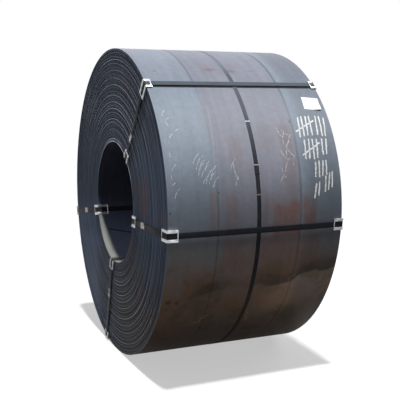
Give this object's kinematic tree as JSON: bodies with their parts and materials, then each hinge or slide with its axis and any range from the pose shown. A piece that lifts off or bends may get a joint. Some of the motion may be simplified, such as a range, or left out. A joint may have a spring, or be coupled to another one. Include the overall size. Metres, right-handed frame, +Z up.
{
  "type": "steel coil",
  "caption": "Hot-rolled steel strip coil lying on its side, bound with eye straps over corner guards and a girth hoop, with a through bore for a mandrel or C-hook.",
  "frame": {"origin": "on the floor under the middle of the coil, at the lowest line of the girth hoop", "axes": "+X along the coil's axis away from the pictured end, -Y towards the front, +Z up"},
  "size_m": [1.078, 1.9139, 1.9063],
  "materials": {
    "mill_scale": "hot-rolled mill scale with dust and light rust",
    "strapping": "worn black enamel",
    "galvanised": "galvanised, slightly dirty",
    "paper": "blank, matt"
  },
  "bodies": {
    "root": {"coil": "mill_scale", "hoop_strap": "strapping", "hoop_seal": "strapping", "eye_strap_upper": "strapping", "eye_strap_front": "strapping", "eye_strap_bottom": "strapping", "eye_strap_back": "strapping", "strap_seal_upper": "strapping", "strap_seal_front": "strapping", "strap_seal_bottom": "strapping", "strap_seal_back": "strapping", "guard_upper_outer_left": "galvanised", "guard_upper_outer_right": "galvanised", "guard_upper_inner_left": "galvanised", "guard_upper_inner_right": "galvanised", "guard_front_outer_left": "galvanised", "guard_front_outer_right": "galvanised", "guard_front_inner_left": "galvanised", "guard_front_inner_right": "galvanised", "guard_bottom_outer_left": "galvanised", "guard_bottom_outer_right": "galvanised", "guard_bottom_inner_left": "galvanised", "guard_bottom_inner_right": "galvanised", "guard_back_outer_left": "galvanised", "guard_back_outer_right": "galvanised", "guard_back_inner_left": "galvanised", "guard_back_inner_right": "galvanised", "paper_label": "paper"}
  },
  "joints": []
}
